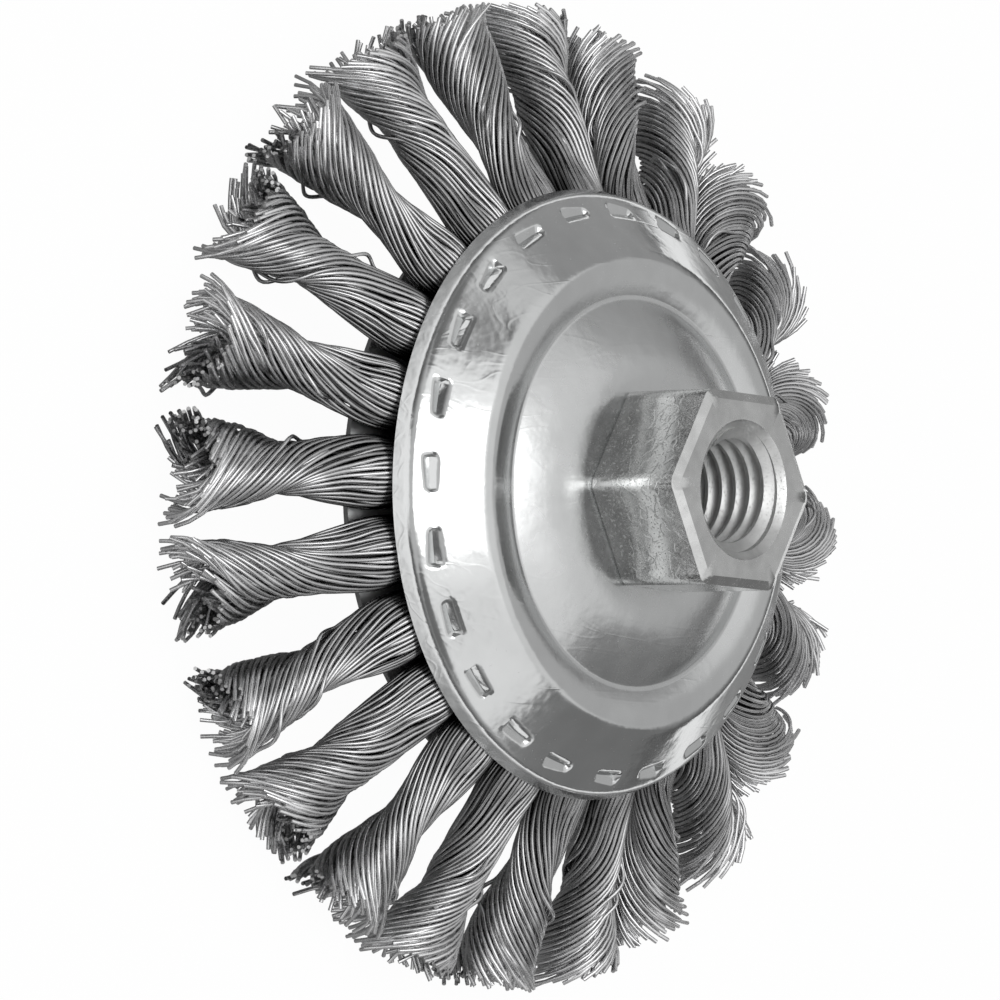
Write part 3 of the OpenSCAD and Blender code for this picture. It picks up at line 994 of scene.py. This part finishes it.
class BRUSH_OT_make_knots(bpy.types.Operator):
    """Make every knot of its separate wires"""
    bl_idname = "wire_brush.make_knots"
    bl_label = "Make wire knots"

    def execute(self, context):
        sizes = context.scene.brush_knots
        finish = context.scene.brush_finish
        materials = [wire_metal("Drawn steel wire", finish.wire, rough=(0.2, 0.32)),
                     wire_metal("Cut wire ends", finish.wire_end, rough=(0.35, 0.5))]
        for index in range(sizes.count):
            source = random.Random(sizes.seed * 1000 + index)
            node = f"knot_{index + 1:02d}"
            name = "wires_" + node
            turn = 2 * math.pi / sizes.count * index - math.pi / 2
            bundle = Bundle(name, Knot(sizes, index + 1), turn, index % 2 == 0, source)
            add_surface(bundle)
            add_inner(bundle)
            placed_piece(name, bundle.mesh(materials), node)
        return {"FINISHED"}


# The stage

class BRUSH_OT_make_stage(bpy.types.Operator):
    """Make the floor, the surroundings, the light and the camera"""
    bl_idname = "wire_brush.make_stage"
    bl_label = "Make stage"

    # Each panel's direction, the cosines where its soft edge starts and ends, and its
    # brightness. The dish, the nut and the wires mirror them.
    PANELS = (
        ((-0.06, -0.40, 0.91), 0.90, 0.96, 1.15),
        ((-0.34, -0.26, 0.90), 0.95, 0.985, 1.0),
        ((0.40, -0.18, 0.90), 0.93, 0.98, 1.0),
        ((0.07, -0.77, 0.64), 0.80, 0.95, 0.55),
        ((-0.05, -0.98, 0.05), 0.93, 0.975, 1.0),
        ((0.62, 0.00, 0.79), 0.92, 0.97, 0.85),
        ((-0.07, 0.77, 0.64), 0.91, 0.97, 0.46),
        ((-0.74, -0.30, 0.60), 0.93, 0.97, 0.16),
        ((0.64, -0.45, 0.62), 0.93, 0.965, 0.16),
        ((-0.70, 0.60, 0.36), 0.90, 0.95, 0.32),
        ((0.64, 0.62, 0.44), 0.90, 0.94, 0.19),
    )

    def execute(self, context):
        stage = context.scene.brush_stage
        context.scene.view_settings.view_transform = "Standard"
        self.make_floor(context)
        self.make_world(context, stage)
        self.make_light(stage)
        self.make_camera(context, stage)
        return {"FINISHED"}

    @staticmethod
    def make_floor(context):
        """A pale floor that looks white and keeps its shadow, with a painted shadow under the
        brush in what metal mirrors.
        """
        mesh = bpy.data.meshes.new("floor")
        mesh.from_pydata([(-3, -3, 0), (3, -3, 0), (3, 3, 0), (-3, 3, 0)], [], [(0, 1, 2, 3)])
        material = bpy.data.materials.new("Pale floor")
        material.use_nodes = True
        tree = material.node_tree
        shader = tree.nodes["Principled BSDF"]
        shader.inputs["Base Color"].default_value = (*context.scene.brush_finish.floor, 1)
        shader.inputs["Roughness"].default_value = 0.9
        glow = new_node(tree, "ShaderNodeEmission", Strength=1.1)
        path = tree.nodes.new("ShaderNodeLightPath").outputs
        # Metal mirrors less of the floor's glow near the brush: a painted shadow round this
        # centre
        painted_shadow_centre = (0, 0.025, 0)
        painted_shadow_to, pale_from = 0.095, 0.185
        glow_in_painted_shadow, palest, seen_share = 0.03, 0.9, 0.88
        away = worked_out(tree, "VectorMath", "DISTANCE", object_place(tree), painted_shadow_centre)
        paleness = ranged(tree, away["Value"], painted_shadow_to, pale_from, glow_in_painted_shadow, palest, smooth=True)
        mirrored = maths(tree, "MULTIPLY", path["Is Glossy Ray"], paleness)
        share = maths(tree, "MULTIPLY_ADD", path["Is Camera Ray"], seen_share, mirrored)
        mix = worked_out(tree, "MixShader", None, share, shader.outputs[0], glow.outputs[0])
        tree.links.new(mix[0], tree.nodes["Material Output"].inputs["Surface"])
        mesh.materials.append(material)
        placed("floor", mesh)

    def make_world(self, context, stage):
        """Surroundings that grow paler upwards, with panels, before a white background."""
        world = bpy.data.worlds.new("Studio")
        context.scene.world = world
        world.use_nodes = True
        tree = world.node_tree
        tree.nodes.clear()
        place = tree.nodes.new("ShaderNodeTexCoord").outputs["Generated"]
        height = new_node(tree, "ShaderNodeSeparateXYZ", Vector=place).outputs["Z"]
        low, high, dark, pale = 0.05, 0.8, 0.1, 0.72
        level = ranged(tree, height, low, high, dark, pale, smooth=True)
        for side, near, core, bright in self.PANELS:
            facing = worked_out(tree, "VectorMath", "DOT_PRODUCT", place,
                                Vector(side).normalized())["Value"]
            level = ranged(tree, facing, near, core, level, bright, smooth=True)
        strength = maths(tree, "MULTIPLY", level, stage.world)
        white = (1, 1, 1, 1)
        around = new_node(tree, "ShaderNodeBackground", Color=white, Strength=strength)
        behind = new_node(tree, "ShaderNodeBackground", Color=white, Strength=1.0)
        seen = tree.nodes.new("ShaderNodeLightPath").outputs["Is Camera Ray"]
        mix = worked_out(tree, "MixShader", None, seen, around.outputs[0], behind.outputs[0])
        new_node(tree, "ShaderNodeOutputWorld", Surface=mix[0])

    @staticmethod
    def make_light(stage):
        """One large soft box over the camera's side."""
        data = bpy.data.lights.new("soft_box", "AREA")
        data.shape = "SQUARE"
        data.size = stage.light_width
        data.energy = stage.light
        lamp = placed("soft_box", data)
        side = Vector(stage.light_side).normalized()
        lamp.location = Vector((0, 0, RIM_Z)) + side * stage.light_distance
        lamp.rotation_euler = side.to_track_quat("Z", "Y").to_euler()
        lamp.visible_camera = False

    @staticmethod
    def make_camera(context, stage):
        """The photograph's view: the spindle's axis runs to the right."""
        data = bpy.data.cameras.new("camera")
        data.lens = stage.lens
        data.sensor_width = 36
        data.clip_start = 0.05
        camera = placed("camera", data)
        across, up = math.sin(stage.off_axis), math.cos(stage.off_axis)
        back = Vector((across * math.cos(stage.azimuth), across * math.sin(stage.azimuth), up))
        right = (Vector((0, 0, 1)) - back * up) / across
        top = back.cross(right)
        aim_right = right * math.cos(stage.roll) + top * math.sin(stage.roll)
        aim_top = top * math.cos(stage.roll) - right * math.sin(stage.roll)
        camera.matrix_world = Matrix((aim_right, aim_top, back)).transposed().to_4x4()
        camera.location = (Vector((0, 0, RIM_Z)) + back * stage.distance
                           - aim_right * stage.aim_right - aim_top * stage.aim_up)
        context.scene.camera = camera


class BRUSH_PT_panel(bpy.types.Panel):
    """List the makers of the wire brush and their sizes"""
    bl_idname = "BRUSH_PT_panel"
    bl_label = "Wire brush"
    bl_space_type = "VIEW_3D"
    bl_region_type = "UI"
    bl_category = "Wire brush"

    def draw(self, context):
        for maker in MAKERS:
            self.layout.operator(maker.bl_idname)
        for name, group in PROPERTY_GROUPS.items():
            box = self.layout.box()
            for field in group.__annotations__:
                box.prop(getattr(context.scene, name), field)


MAKERS = (
    BRUSH_OT_make_stage,
    BRUSH_OT_make_dish,
    BRUSH_OT_make_plates,
    BRUSH_OT_make_nut,
    BRUSH_OT_make_knots,
)
CLASSES = (*PROPERTY_GROUPS.values(), *MAKERS, BRUSH_PT_panel)


def register():
    for item in CLASSES:
        bpy.utils.register_class(item)
    for name, group in PROPERTY_GROUPS.items():
        setattr(bpy.types.Scene, name, PointerProperty(type=group))


def unregister():
    for name in PROPERTY_GROUPS:
        delattr(bpy.types.Scene, name)
    for item in reversed(CLASSES):
        bpy.utils.unregister_class(item)


def main():
    register()
    bpy.ops.wire_brush.make_stage()
    bpy.ops.wire_brush.make_dish()
    bpy.ops.wire_brush.make_plates()
    bpy.ops.wire_brush.make_nut()
    bpy.ops.wire_brush.make_knots()


if __name__ == "__main__":
    main()
